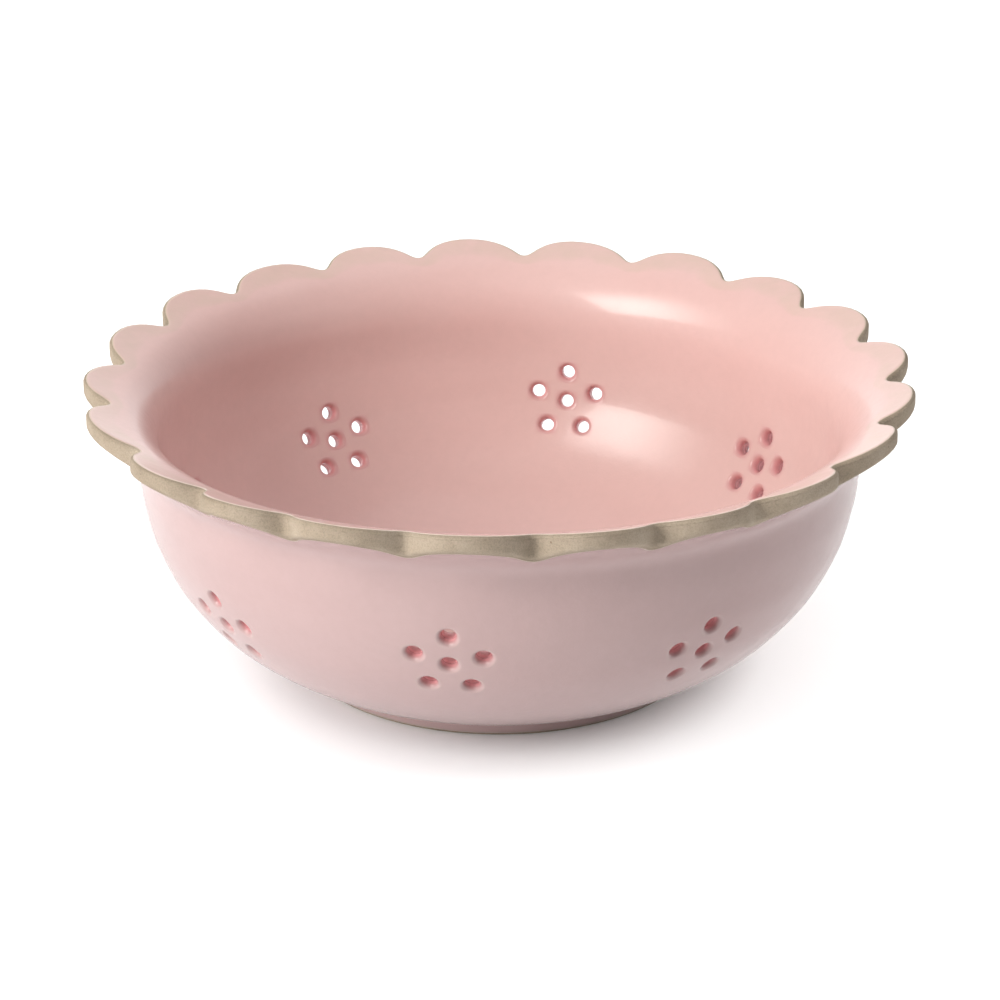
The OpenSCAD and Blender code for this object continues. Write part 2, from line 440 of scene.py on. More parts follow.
# inside, above the wall: [points, thin]. The rows are circles up the bend, then turn gradually into the scallops
MEET_R = 88.6
in_rim = []
bend_0, bend_1 = np.arcsin(np.clip((WALL_TOP - bend_cz) / BEND_R, 0, 1)), np.arccos((bend_cx - MEET_R) / BEND_R)
for q in np.linspace(0, 1, 10)[1:]:
    b = math.pi - bend_0 - q * (bend_1 - bend_0)
    in_rim.append((ring_pts(bend_cx + BEND_R * np.cos(b), bend_cz + BEND_R * np.sin(b)), 0.0))
# on the flange the coat is set thinner towards the edge: partly thinner glaze, partly painted sheen that pales the
# colour
for w in (0.87, 0.74, 0.61, 0.48, 0.36, 0.24, 0.12, 0.0):
    in_rim.append((inset_pts(EDGE_R + 0.4, surf_z, w, MEET_R), 0.12 + 0.30 * smooth01((1 - w) / 0.6)))
for deg in (0, 12, 24, 36, 48, 60, 72, 84):
    b = math.radians(deg)
    d, drop = EDGE_R * (1 - math.sin(b)), EDGE_R * (1 - math.cos(b))
    p = inset_pts(d, surf_z)
    # the slope under the rounding is that of the flange at the start of the rounding
    p[:, 2] -= drop * 0.92
    # the pale line along the top rounding is partly thin glaze and partly a painted highlight
    in_rim.append((p, 0.44 + 0.66 * smooth01((deg - 11) / 34)))
IN_RIM = np.array([p for p, _ in in_rim])
IN_RIM_THIN = np.array([np.full(COLS, t) for _, t in in_rim])
n_round = 8

# outside, above the wall
out_rim = [(ring_pts(*bez(UNDER, t)), 0.0) for t in (0.08, 0.16, 0.24, 0.32)]
c_r = float(bez(UNDER, 0.32)[0])
for w, d in ((0.82, 2.4), (0.66, 2.4), (0.5, 2.4), (0.34, 2.4), (0.17, 2.4), (0, 2.4), (0, 2.1), (0, 1.8), (0, 1.55), (0, 1.3), (0, 1.1)):
    out_rim.append((inset_pts(d, under_z, w, c_r), 0.1 + 0.95 * smooth01((2.5 - d) / 1.2) * (1 - w)))
OUT_RIM = np.array([p for p, _ in out_rim])
OUT_RIM_THIN = np.array([np.full(COLS, t) for _, t in out_rim])

# floor and foot profiles, as (r, z) rows from the middle out, and up the foot
s1 = ROW_S[1]


def quad(p0, p1, p2, n):
    t = np.linspace(0, 1, n)[:, None]
    return (1 - t)**2 * np.array(p0) + 2 * t * (1 - t) * np.array(p1) + t * t * np.array(p2)


in_start = wall_point(np.array([0.0]), ROW_S[:1], "in")[0][0]      # x = r, z
floor_rows = quad((40.5, FLOOR_Z), (46.0, FLOOR_Z - 0.02), (in_start[0], in_start[2]), 6)[:-1]
foot_rows = np.array([(48.93, 0.50), (49.08, 0.80), (49.25, 1.25), (49.42, 1.8), (49.58, 2.4)]
                     + [tuple(p) for p in quad((49.72, 2.95), (49.98, 3.6), (51.3, 3.99), 6)])
# the wall starts a little way up, where the foot's fillet ends
FIRST = int(np.argmax(wall_frame(ROW_S)[0][:, 0] > 52.2))


def loft(rows):
    return np.stack([ring_pts(r, z) for r, z in rows])


def offset_back(P, t):
    return P - np.asarray(t)[..., None] * grid_normals(P)


# complete grids of the two glazed faces, foot to rim and floor to rim
wall_in, wall_in_n = wall_point(az_grid, s_grid, "in")
# the bend begins a little below the top of the wall
above = np.maximum(wall_in[..., 2] - bend_cz, 0)
wall_in[..., :2] *= (1 + (BEND_R - np.sqrt(BEND_R**2 - above**2)) / IN_R)[..., None]
wall_out, wall_out_n = wall_point(az_grid, s_grid, "out")

FULL_IN = np.concatenate([loft(floor_rows), wall_in, IN_RIM])
FULL_OUT = np.concatenate([loft(foot_rows), wall_out[FIRST:], OUT_RIM])
nf_in, nf_out = len(floor_rows), len(foot_rows)
THIN_IN = np.concatenate([np.zeros((nf_in + ROWS, COLS)), IN_RIM_THIN])
THIN_OUT = np.concatenate([np.zeros((nf_out + ROWS - FIRST, COLS)), OUT_RIM_THIN])
THIN_OUT[0], THIN_OUT[1], THIN_OUT[2] = 1.0, 0.6, 0.3

n_in, n_out = grid_normals(FULL_IN), grid_normals(FULL_OUT)
# rows run outwards and up, so the grid normal points out of the bowl: turn the inside one
n_in = -n_in
n_in[nf_in:nf_in + ROWS] = wall_in_n
n_out[nf_out:nf_out + ROWS - FIRST] = wall_out_n[FIRST:]
t_in = np.full(FULL_IN.shape[:2], GLAZE)
for i, t in enumerate((0.4, 0.39, 0.37, 0.33, 0.27, 0.19, 0.11, 0.04)):
    t_in[-n_round + i] = t
# normals of the rounded top edge, built from the outline's own
for i, deg in enumerate((0, 12, 24, 36, 48, 60, 72, 84)):
    b = math.radians(deg)
    up = np.array([0, 0, 1.0])
    n = np.concatenate([NORMAL * math.sin(b), np.full((COLS, 1), math.cos(b))], 1)
    if deg < 24:
        n = n_in[-n_round + i] * (1 - deg / 24) + n * deg / 24
    n_in[-n_round + i] = n / np.linalg.norm(n, axis=1, keepdims=True)
t_out = np.full(FULL_OUT.shape[:2], GLAZE)
for i, t in enumerate((0.04, 0.18, 0.32, 0.4)):
    t_out[i] = t
for i, t in enumerate((0.36, 0.28, 0.18, 0.04)):
    t_out[-4 + i] = t
BACK_IN = FULL_IN - t_in[..., None] * n_in
BACK_OUT = FULL_OUT - t_out[..., None] * n_out

# --------------------------------------------------- middle of the floor (flat)
PATCH_R, PATCH_N = 21.0, COLS // 4
patch_az = AZ[::4]


def floor_patch():
    """Flat disc with the floor flower's six holes: points [x, y], triangles, hole rings, outer ring."""
    pts, edges, rings = [], [], []

    def loop(p):
        i = len(pts)
        pts.extend(p)
        n = len(p)
        edges.extend((i + a, i + (a + 1) % n) for a in range(n))
        return list(range(i, i + n))

    outer = loop([(PATCH_R * math.cos(a), PATCH_R * math.sin(a)) for a in patch_az])
    centres = [(0.0, 0.0)] + [(PETAL_R * math.cos(math.radians(72 * j + 90)), PETAL_R * math.sin(math.radians(72 * j + 90))) for j in range(5)]
    r0 = LIP_ROWS[0][0]
    for cx, cy in centres:
        rings.append(loop([(cx + r0 * math.cos(a), cy + r0 * math.sin(a)) for a in RING_A]))
    extra = []
    for cx, cy in centres:
        for rr, n in ((r0 + 0.4, 40), (r0 + 0.95, 30)):
            extra += [(cx + rr * math.cos(TAU * i / n), cy + rr * math.sin(TAU * i / n)) for i in range(n)]
    step = 1.35
    kept = []
    for x, y in extra:
        if all(math.hypot(x - cx, y - cy) > r0 + 0.3 for cx, cy in centres) and math.hypot(x, y) < PATCH_R - 0.6 \
                and all((x - a)**2 + (y - b)**2 > 0.3**2 for a, b in kept):
            kept.append((x, y))
    n_ring = len(kept)
    for j in range(-18, 19):
        for i in range(-18, 19):
            x, y = (i + 0.5 * (j % 2)) * step, j * step * 0.866
            if math.hypot(x, y) < PATCH_R - 0.8 and all(math.hypot(x - cx, y - cy) > r0 + 1.5 for cx, cy in centres) \
                    and all((x - a)**2 + (y - b)**2 > 0.9**2 for a, b in kept[:n_ring]):
                kept.append((x, y))
    pts.extend(kept)
    out = delaunay_2d_cdt([Vector(p) for p in pts], edges, [], 0, 1e-6)
    verts, faces = out[0], out[2]
    assert len(verts) == len(pts), "patch points changed"
    orig = [o[0] for o in out[3]]
    good = []
    for f in faces:
        tri = [orig[v] for v in f]
        gx = sum(pts[v][0] for v in tri) / len(tri)
        gy = sum(pts[v][1] for v in tri) / len(tri)
        if all(math.hypot(gx - cx, gy - cy) > r0 * 0.999 for cx, cy in centres):
            good.append(tri)
    return np.array(pts), good, rings, outer, centres


PATCH = floor_patch()


def add_patch(build, z, up, layer, ring_ids):
    """Adds the pierced disc at height z, facing up or down, joined to an outer ring that exists. Returns the holes' last rings."""
    pts, tris, rings, outer, centres = PATCH
    t = GLAZE if layer == "clay" else 0.0
    zz = z - t if up else z + t
    dirn = -1.0 if up else 1.0
    thin = np.zeros(len(pts))
    # the floor holes' first rings are set below zero: pooling and painted shade round each mouth
    for r in rings:
        thin[r] = -0.35
    ids = build.add(np.column_stack([pts, np.full(len(pts), zz)]), thin)
    ids = ids.copy()
    for a, b in zip(outer, ring_ids):
        ids[a] = b
    for tri in tris:
        build.f.append([int(ids[v]) for v in tri])
    ends = []
    for (cx, cy), ring in zip(centres, rings):
        last = ids[ring]
        for radius, depth, b in LIP_ROWS[1:] + [(BORE, LIP_DEPTH, math.pi / 2)]:
            rr = radius + t * math.sin(b)
            zr = z + dirn * (depth + t * math.cos(b))
            ring_p = np.stack([cx + rr * np.cos(RING_A), cy + rr * np.sin(RING_A), np.full(RING, zr)], -1)
            new = build.add(ring_p, lip_thin(b, "in") if depth < LIP_DEPTH else POOLED_AND_SHADED)
            build.strip(last, new)
            last = new
        ends.append(last)
    return ends


def down_to_patch(build, first_ring, r_from, z, t, sign):
    """Rings from the outermost flat ring (full count) in to the patch's edge ring, with fewer columns inwards."""
    zz = z + sign * t
    last, az = first_ring, AZ
    plan = [(r_from - 2.2, 1), (r_from - 5.0, 2), (r_from - 8.0, 2), (r_from - 11.5, 2), (r_from - 15.0, 4), (PATCH_R, 4)]
    prev = 1
    for r, every in plan:
        a = AZ[::every]
        ring = build.add(np.stack([r * np.cos(a), r * np.sin(a), np.full(len(a), zz)], -1), 0.0)
        if every == prev:
            build.strip(last, ring)
        else:
            build.halve(last, ring)
        last, prev = ring, every
    return last


# ------------------------------------------------------------------- pieces
def lay_grid(build, P, thin, offset, cells_first=0):
    """Adds a full grid with the pierced cells left out. offset is the row at which the wall's rows begin."""
    ids = build.add(P, thin)
    used = np.zeros((len(P) - 1, COLS), bool)
    n = min(ROWS - 1 - cells_first, len(P) - 1 - offset)
    used[offset:offset + n] = USED[cells_first:cells_first + n]
    build.grid(ids, used)
    return ids


def wall_ids(ids, offset, cells_first=0):
    """Grid rows of the wall, indexed as ROW_S is."""
    full = np.full((ROWS, COLS), -1)
    full[cells_first:] = ids[offset:offset + ROWS - cells_first]
    return full


def make_inside():
    b = Build()
    ends = []
    for layer, P in (("glaze", FULL_IN), ("clay", BACK_IN)):
        ids = lay_grid(b, P, THIN_IN, nf_in)
        w = wall_ids(ids, nf_in)
        rings = [pierce(b, h, c, w, "in", layer) for h, c in zip(HOLES, CENTRE)]
        t = 0.0 if layer == "glaze" else GLAZE
        patch_ring = down_to_patch(b, ids[0], 40.5, FLOOR_Z, t, -1)
        rings += add_patch(b, FLOOR_Z, True, layer, patch_ring)
        ends.append((rings, ids[-1]))
    for r0, r1 in zip(ends[0][0], ends[1][0]):
        b.strip(r0, r1)
    b.strip(ends[0][1], ends[1][1])
    return b.mesh("glaze_coat_inside")


def make_outside():
    b = Build()
    ends = []
    for layer, P in (("glaze", FULL_OUT), ("clay", BACK_OUT)):
        ids = lay_grid(b, P, THIN_OUT, nf_out, FIRST)
        w = wall_ids(ids, nf_out, FIRST)
        rings = [pierce(b, h, c, w, "out", layer) for h, c in zip(HOLES, CENTRE)]
        ends.append((rings, ids[0], ids[-1]))
    for r0, r1 in zip(ends[0][0], ends[1][0]):
        b.strip(r0, r1)
    b.strip(ends[0][1], ends[1][1])
    b.strip(ends[0][2], ends[1][2])
    return b.mesh("glaze_coat_outside")


WELL_Z = FOOT_H - GLAZE
# underside inside the foot: from the flat ceiling out, round the corner and down the ring
well_rows = [(38.0, WELL_Z), (40.5, WELL_Z), (42.2, WELL_Z)] \
    + [tuple(p) for p in quad((42.9, WELL_Z), (43.9, WELL_Z), (44.0, WELL_Z - 0.9), 6)] \
    + [(44.03, 1.8), (44.08, 1.4), (44.15, 1.1), (44.24, 0.9)]
WELL = loft(well_rows)
WELL_N = grid_normals(WELL)
WELL_N = WELL_N * np.sign(-WELL_N[0, 0, 2])     # the first row faces down
well_t = np.full(len(well_rows), GLAZE)
well_t[-4:] = (0.36, 0.28, 0.16, 0.04)
WELL_BACK = WELL - well_t[:, None, None] * WELL_N
well_thin = np.zeros((len(well_rows), COLS))
well_thin[-1], well_thin[-2], well_thin[-3] = 1, 0.7, 0.3


def make_well():
    b = Build()
    ends = []
    for layer, P in (("glaze", WELL), ("clay", WELL_BACK)):
        ids = b.add(P, well_thin)
        b.grid(ids)
        t = 0.0 if layer == "glaze" else GLAZE
        ring = down_to_patch(b, ids[0], 38.0, WELL_Z, t, +1)
        rings = add_patch(b, WELL_Z, False, layer, ring)
        ends.append((rings, ids[-1]))
    for r0, r1 in zip(ends[0][0], ends[1][0]):
        b.strip(r0, r1)
    b.strip(ends[0][1], ends[1][1])
    return b.mesh("glaze_coat_foot_well")


def sleeve_rings(hole, radius, side):
    a, s_h, r_h = hole
    pos, _ = ring_on_wall(hole, BORE, side)
    ctr, nrm = (v[0] for v in wall_point(np.array([a]), np.array([s_h]), side))
    away = pos - ctr
    away = away - (away @ nrm)[:, None] * nrm
    away /= np.linalg.norm(away, axis=1, keepdims=True)
    return pos - LIP_DEPTH * nrm + (radius - BORE) * away


def tube(build, loops_in, loops_out, thin=-1.0):
    """A closed tube: inner loops from one end to the other, then the outer ones back."""
    # thin -1 gives the linings the full painted bore light, a lighter pink standing in for light through the bores
    ids = [build.add(p, thin) for p in loops_in] + [build.add(p, thin) for p in loops_out[::-1]]
    for a, c in zip(ids, ids[1:] + ids[:1]):
        build.strip(a, c)


def make_linings():
    b = Build()
    for hole in HOLES:
        ends = [[sleeve_rings(hole, r, side) for side in ("out", "in")] for r in (BORE, BORE + GLAZE)]
        loops = []
        for (o, i) in ends:
            loops.append([o + (i - o) * q for q in np.linspace(0, 1, 5)])
        tube(b, loops[0], loops[1])
    for cx, cy in PATCH[4]:
        loops = []
        for r in (BORE, BORE + GLAZE):
            loops.append([np.stack([cx + r * np.cos(RING_A), cy + r * np.sin(RING_A), np.full(RING, z)], -1)
                          for z in np.linspace(WELL_Z + LIP_DEPTH, FLOOR_Z - LIP_DEPTH, 5)])
        tube(b, loops[0], loops[1])
    return b.mesh("glaze_hole_linings")


def make_clay_bowl():
    """Floor and wall in clay, up to the joint with the rim. It is under the glaze everywhere."""
    b = Build()
    n_i = nf_in + ROWS
    ids_in = lay_grid(b, BACK_IN[:n_i], 0.0, nf_in)
    rings_in = [pierce(b, h, c, wall_ids(ids_in, nf_in), "in", "clay") for h, c in zip(HOLES, CENTRE)]
    ring = down_to_patch(b, ids_in[0], 40.5, FLOOR_Z, GLAZE, -1)
    rings_in += add_patch(b, FLOOR_Z, True, "clay", ring)
    # outside, from the joint with the foot ring
    j0 = nf_out - 1
    P = BACK_OUT[j0:nf_out + ROWS - FIRST]
    ids_out = lay_grid(b, P, 0.0, 1, FIRST)
    rings_out = [pierce(b, h, c, wall_ids(ids_out, 1, FIRST), "out", "clay") for h, c in zip(HOLES, CENTRE)]
    b.strip(ids_in[-1], ids_out[-1])
    # underside: joint with the ring, then the flat ceiling of the well
    edge = b.add(loft([(49.6, FOOT_H), (44.4, FOOT_H), (38.0, FOOT_H)]), 0.0)
    b.strip(ids_out[0], edge[0])
    b.strip(edge[0], edge[1])
    b.strip(edge[1], edge[2])
    ring = down_to_patch(b, edge[2], 38.0, WELL_Z, GLAZE, +1)
    rings_out += add_patch(b, WELL_Z, False, "clay", ring)
    for r0, r1 in zip(rings_in, rings_out):
        b.strip(r0, r1)
    return b.mesh("clay_floor_and_wall")


FACE_N = 5


def make_rim():
    """Clay flange: glazed over above and below, and bare on the cut edge."""
    b = Build()
    up = BACK_IN[nf_in + ROWS - 1:]
    down = BACK_OUT[nf_out + ROWS - FIRST - 1:][::-1]
    top, low = up[-1], down[0]
    # the cut face, from the end of the upper glaze down to the rounded lower corner
    rows = []
    corner_z = under_z(np.hypot(BASE[:, 0], BASE[:, 1]))
    for q in np.linspace(0, 1, FACE_N)[1:]:
        z = top[:, 2] + (corner_z + 1.25 - top[:, 2]) * q
        rows.append(np.concatenate([BASE - 0.02 * NORMAL, z[:, None]], 1))
    p0 = rows.pop()
    p2 = inset_pts(1.0, under_z)
    p2[:, 2] += 0.02
    p1 = np.concatenate([BASE - 0.02 * NORMAL, corner_z[:, None]], 1)
    for q in np.linspace(0, 1, 8):
        rows.append((1 - q)**2 * p0 + 2 * q * (1 - q) * p1 + q * q * p2)
    face = np.array(rows)
    P = np.concatenate([up, face, down])
    ids = b.add(P, 0.0)
    b.grid(ids)
    b.strip(ids[-1], ids[0])
    return b.mesh("clay_scalloped_rim")


def make_foot():
    b = Build()
    out = BACK_OUT[:nf_out - 1]            # up the outside, under the glaze
    well = WELL_BACK[3:][::-1]             # up the inside, under the glaze
    bottom = loft([(44.32, 0.62), (44.5, 0.32), (44.8, 0.1), (45.3, 0.01), (46.0, 0.0), (46.8, 0.0), (47.5, 0.0),
                   (48.1, 0.0), (48.5, 0.07), (48.72, 0.2), (48.83, 0.36)])
    top = loft([(49.6, FOOT_H), (47.8, FOOT_H), (46.0, FOOT_H), (44.6, FOOT_H)])
    loop = np.concatenate([bottom, out[:-3], top, well[::-1]])
    loop_ids = b.add(loop, 0.0)
    b.grid(loop_ids)
    b.strip(loop_ids[-1], loop_ids[0])
    return b.mesh("clay_foot_ring")


inside = make_inside()
outside = make_outside()
well = make_well()
linings = make_linings()
clay_bowl = make_clay_bowl()
rim = make_rim()
foot = make_foot()

PIECES = [(inside, "inside_glaze", "glaze_inside"), (outside, "outside_glaze", "glaze_outside"),
          (well, "foot_well_glaze", "glaze_outside"), (linings, "hole_glaze_linings", "glaze_inside"),
          (clay_bowl, "clay_bowl", "bare_clay"), (rim, "scalloped_rim", "bare_clay"), (foot, "foot_ring", "bare_clay")]


# ---------------------------------------------------------------- materials
def material(name):
    m = bpy.data.materials.new(name)
    m.use_nodes = True
    nt = m.node_tree
    nt.nodes.clear()
    out = nt.nodes.new("ShaderNodeOutputMaterial")
    bs = nt.nodes.new("ShaderNodeBsdfPrincipled")
    nt.links.new(bs.outputs[0], out.inputs[0])

    def node(kind, **kw):
        n = nt.nodes.new("ShaderNode" + kind)
        for k, v in kw.items():
            if k in n.inputs.keys():
                n.inputs[k].default_value = v
            else:
                setattr(n, k, v)
        return n

    def link(a, b):
        nt.links.new(a, b)

    return m, nt, bs, node, link


def ramp(node, stops):
    r = node("ValToRGB")
    el = r.color_ramp.elements
    while len(el) < len(stops):
        el.new(0.5)
    for e, (pos, col) in zip(el, stops):
        e.position = pos
        e.color = (*col, 1) if len(col) == 3 else col
    return r


def mix(nt, a, b, fac, mode="MIX"):
    n = nt.nodes.new("ShaderNodeMix")
    n.data_type = "RGBA"
    n.blend_type = mode
    for sock, v in ((n.inputs[0], fac), (n.inputs[6], a), (n.inputs[7], b)):
        if hasattr(v, "links") or hasattr(v, "is_linked"):
            nt.links.new(v, sock)
        elif isinstance(v, (int, float)):
            sock.default_value = v
        else:
            sock.default_value = (*v, 1)
    return n.outputs[2]


def clay_tone(nt, node, link, co):
    """Colour of the bare stoneware, and its grain."""
    base = node("TexNoise", Scale=90.0, Detail=4.0, Roughness=0.6)
    link(co, base.inputs["Vector"])
    tone = ramp(node, [(0.3, (0.249, 0.198, 0.146)), (0.5, (0.301, 0.242, 0.183)), (0.75, (0.352, 0.288, 0.223))])
    link(base.outputs[0], tone.inputs[0])
    grain = node("TexNoise", Scale=2600.0, Detail=2.0, Roughness=0.7)
    link(co, grain.inputs["Vector"])
    gr = ramp(node, [(0.3, (0.78, 0.77, 0.75)), (0.6, (1.04, 1.04, 1.04))])
    link(grain.outputs[0], gr.inputs[0])
    return mix(nt, tone.outputs[0], gr.outputs[0], 1.0, "MULTIPLY"), grain


def glaze(name, deep, main, pale, broken_and_sheen, pooled_and_shaded, seed, gloss):
    m, nt, bs, node, link = material(name)
    co = node("TexCoord").outputs["Object"]
    # broad cloudiness of the coat
    big = node("TexNoise", noise_dimensions="3D", Scale=22.0, Detail=3.0, Roughness=0.5)
    mp = node("Mapping")
    mp.inputs["Location"].default_value = (seed, seed * 0.7, 0.3)
    mp.inputs["Scale"].default_value = (1, 1, 1.6)
    link(co, mp.inputs[0])
    link(mp.outputs[0], big.inputs["Vector"])
    cloud = ramp(node, [(0.15, deep), (0.50, main), (0.85, pale)])
    cloud.color_ramp.interpolation = "B_SPLINE"
    link(big.outputs[0], cloud.inputs[0])
    # fine mottling
    fine = node("TexNoise", Scale=420.0, Detail=4.0, Roughness=0.6)
    link(co, fine.inputs["Vector"])
    fr = ramp(node, [(0.35, (0.978, 0.978, 0.978)), (0.65, (1.0, 1.0, 1.0))])
    link(fine.outputs[0], fr.inputs[0])
    col = mix(nt, cloud.outputs[0], fr.outputs[0], 1.0, "MULTIPLY")
    # where the coat is thin it breaks to the clay's colour; on the flange and the rim's top rounding this paler colour
    # is partly painted sheen and a painted highlight
    at = node("Attribute", attribute_name="thin")
    ed = node("TexNoise", Scale=160.0, Detail=3.0)
    link(co, ed.inputs["Vector"])
    ad = node("Math", operation="MULTIPLY_ADD")
    link(ed.outputs[0], ad.inputs[0])
    ad.inputs[1].default_value = 0.3
    ad.inputs[2].default_value = -0.15
    sm = node("Math", operation="ADD")
    link(at.outputs["Fac"], sm.inputs[0])
    link(ad.outputs[0], sm.inputs[1])
    br = ramp(node, [(0.30, (0, 0, 0)), (0.80, (1, 1, 1))])
    link(sm.outputs[0], br.inputs[0])
    col = mix(nt, col, broken_and_sheen, br.outputs[0])
    # and at its very end the clay shows
    bare = ramp(node, [(0.64, (0, 0, 0)), (0.92, (1, 1, 1))])
    link(sm.outputs[0], bare.inputs[0])
    under, grain = clay_tone(nt, node, link, co)
    col = mix(nt, col, under, bare.outputs[0])
    # and where it has pooled it is deeper; in and round the holes this deeper colour is also painted shade
    pool_and_shade = node("MapRange")
    link(at.outputs["Fac"], pool_and_shade.inputs[0])
    pool_and_shade.inputs["From Min"].default_value = -1.0
    pool_and_shade.inputs["From Max"].default_value = 0.0
    pool_and_shade.inputs["To Min"].default_value = 1.0
    pool_and_shade.inputs["To Max"].default_value = 0.0
    col = mix(nt, col, pooled_and_shaded, pool_and_shade.outputs[0])
    # and down in a bore a lighter pink is painted in: painted light, standing in for light shining through from both
    # sides
    bore = node("MapRange")
    link(at.outputs["Fac"], bore.inputs[0])
    bore.inputs["From Min"].default_value = -0.95
    bore.inputs["From Max"].default_value = -0.55
    bore.inputs["To Min"].default_value = 1.0
    bore.inputs["To Max"].default_value = 0.0
    col = mix(nt, col, PAINTED_BORE_LIGHT, bore.outputs[0])
    link(col, bs.inputs["Base Color"])
    # surface: a hard gloss over a faintly uneven coat
    rr = node("MapRange")
    link(fine.outputs[0], rr.inputs[0])
    rr.inputs["To Min"].default_value = 0.25
    rr.inputs["To Max"].default_value = 0.27
    matt = node("Math", operation="MULTIPLY_ADD")
    link(bare.outputs[0], matt.inputs[0])
    matt.inputs[1].default_value = 0.6
    link(rr.outputs[0], matt.inputs[2])
    link(matt.outputs[0], bs.inputs["Roughness"])
    shine = node("Math", operation="MULTIPLY_ADD")
    link(bare.outputs[0], shine.inputs[0])
    shine.inputs[1].default_value = -gloss
    shine.inputs[2].default_value = gloss
    link(shine.outputs[0], bs.inputs["Coat Weight"])
    b1 = node("Bump", Strength=0.12, Distance=0.0006)
    link(fine.outputs[0], b1.inputs["Height"])
    b2 = node("Bump", Strength=0.14, Distance=0.0012)
    b2n = node("TexNoise", Scale=75.0, Detail=1.0)
    link(co, b2n.inputs["Vector"])
    link(b2n.outputs[0], b2.inputs["Height"])
    link(b1.outputs[0], b2.inputs["Normal"])
    b3 = node("Bump", Distance=0.00025)
    rough_ = node("Math", operation="MULTIPLY")
    link(bare.outputs[0], rough_.inputs[0])
    rough_.inputs[1].default_value = 0.5
    link(rough_.outputs[0], b3.inputs["Strength"])
    link(grain.outputs[0], b3.inputs["Height"])
    link(b2.outputs[0], b3.inputs["Normal"])
    link(b3.outputs[0], bs.inputs["Normal"])
    bs.inputs["IOR"].default_value = 1.5
    bs.inputs["Specular IOR Level"].default_value = 0.28
    bs.inputs["Coat Roughness"].default_value = 0.07
    bs.inputs["Coat IOR"].default_value = 1.5
    return m


def clay_material(name):
    m, nt, bs, node, link = material(name)
    co = node("TexCoord").outputs["Object"]
    col, grain = clay_tone(nt, node, link, co)
    # a few dark specks of iron
    vo = node("TexVoronoi", Scale=430.0, Randomness=1.0)
    link(co, vo.inputs["Vector"])
    sp = ramp(node, [(0.05, (1, 1, 1)), (0.16, (0, 0, 0))])
    link(vo.outputs["Distance"], sp.inputs[0])
    pick = node("TexNoise", Scale=300.0, Detail=0.0)
    link(co, pick.inputs["Vector"])
    pr = ramp(node, [(0.60, (0, 0, 0)), (0.66, (1, 1, 1))])
    link(pick.outputs[0], pr.inputs[0])
    mul = node("Math", operation="MULTIPLY")
    link(sp.outputs[0], mul.inputs[0])
    link(pr.outputs[0], mul.inputs[1])
    col = mix(nt, col, (0.16, 0.11, 0.07), mul.outputs[0])
    link(col, bs.inputs["Base Color"])
    rr = node("MapRange")
    link(grain.outputs[0], rr.inputs[0])
    rr.inputs["To Min"].default_value = 0.78
    rr.inputs["To Max"].default_value = 0.95
    link(rr.outputs[0], bs.inputs["Roughness"])
    b1 = node("Bump", Strength=0.5, Distance=0.00025)
    link(grain.outputs[0], b1.inputs["Height"])
    b2 = node("Bump", Strength=0.35, Distance=0.0006)
    mid = node("TexNoise", Scale=600.0, Detail=2.0)
    link(co, mid.inputs["Vector"])
    link(mid.outputs[0], b2.inputs["Height"])
    link(b1.outputs[0], b2.inputs["Normal"])
    link(b2.outputs[0], bs.inputs["Normal"])
    bs.inputs["Specular IOR Level"].default_value = 0.3
    return m


# The first colour here is that of thin, broken glaze, and on the flange and top rounding it also stands in for painted
# sheen and a painted highlight.
BROKEN_AND_SHEEN, BROKEN_OUT = (0.50, 0.410, 0.305), (0.37, 0.303, 0.26)
# The pool colours are partly glaze pooling and partly painted shade in and round the holes; the bores' lighter pink is
# painted light.
POOL_AND_SHADE, POOL_AND_SHADE_OUT, PAINTED_BORE_LIGHT = (0.55, 0.25, 0.25), (0.48, 0.20, 0.21), (0.76, 0.35, 0.36)
mat_in = glaze("pink glaze, inside", (0.653, 0.420, 0.394), (0.666, 0.439, 0.412), (0.679, 0.461, 0.433), BROKEN_AND_SHEEN, POOL_AND_SHADE, 0.0, 0.29)
# The outside coat, and with it the foot well's, is a darker copy of the inside's pink glaze, so that it reads as less
# lit: painted shade.
mat_out_shaded = glaze("pink glaze, outside, painted darker", (0.363, 0.247, 0.240), (0.372, 0.258, 0.251), (0.382, 0.270, 0.262), BROKEN_OUT, POOL_AND_SHADE_OUT, 0.4, 0.20)
mat_clay = clay_material("bare stoneware")
MATS = {"glaze_inside": mat_in, "glaze_outside": mat_out_shaded, "bare_clay": mat_clay}

for o, node_name, slot in PIECES:
    o.data.materials.append(MATS[slot])
    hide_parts(node_name)
    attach(o, "root")

# -------------------------------------------------------------------- stage
bm = bmesh.new()
bmesh.ops.create_grid(bm, x_segments=8, y_segments=8, size=3.0)
fl = bpy.data.meshes.new("floor")
bm.to_mesh(fl)
bm.free()
floor = bpy.data.objects.new("floor", fl)
bpy.context.scene.collection.objects.link(floor)
fm, fnt, fbs, fnode, flink = material("pale floor")
fbs.inputs["Base Color"].default_value = (0.93, 0.93, 0.93, 1)
fbs.inputs["Roughness"].default_value = 0.6
fbs.inputs["Specular IOR Level"].default_value = 0.2
fl.materials.append(fm)


def area(name, place, target, size, power, color=(1, 1, 1)):
    li = bpy.data.lights.new(name, "AREA")
    li.shape = "RECTANGLE"
    li.size, li.size_y = size
    li.energy = power
    li.color = color
    o = bpy.data.objects.new(name, li)
    o.location = place
    o.rotation_mode = "QUATERNION"
    o.rotation_quaternion = (Vector(target) - Vector(place)).to_track_quat("-Z", "Y")
    bpy.context.scene.collection.objects.link(o)
    return o


def aim(az, el, dist):
    """Place of a lamp by its azimuth and height angle from the bowl, in degrees, and its distance."""
    a, b = math.radians(az), math.radians(el)
    return (dist * math.cos(b) * math.cos(a), dist * math.cos(b) * math.sin(a), 0.04 + dist * math.sin(b))


bowl_only = bpy.data.collections.new("lit_bowl")
for o, _, _ in PIECES:
    bowl_only.objects.link(o)
floor_only = bpy.data.collections.new("lit_floor")
floor_only.objects.link(floor)



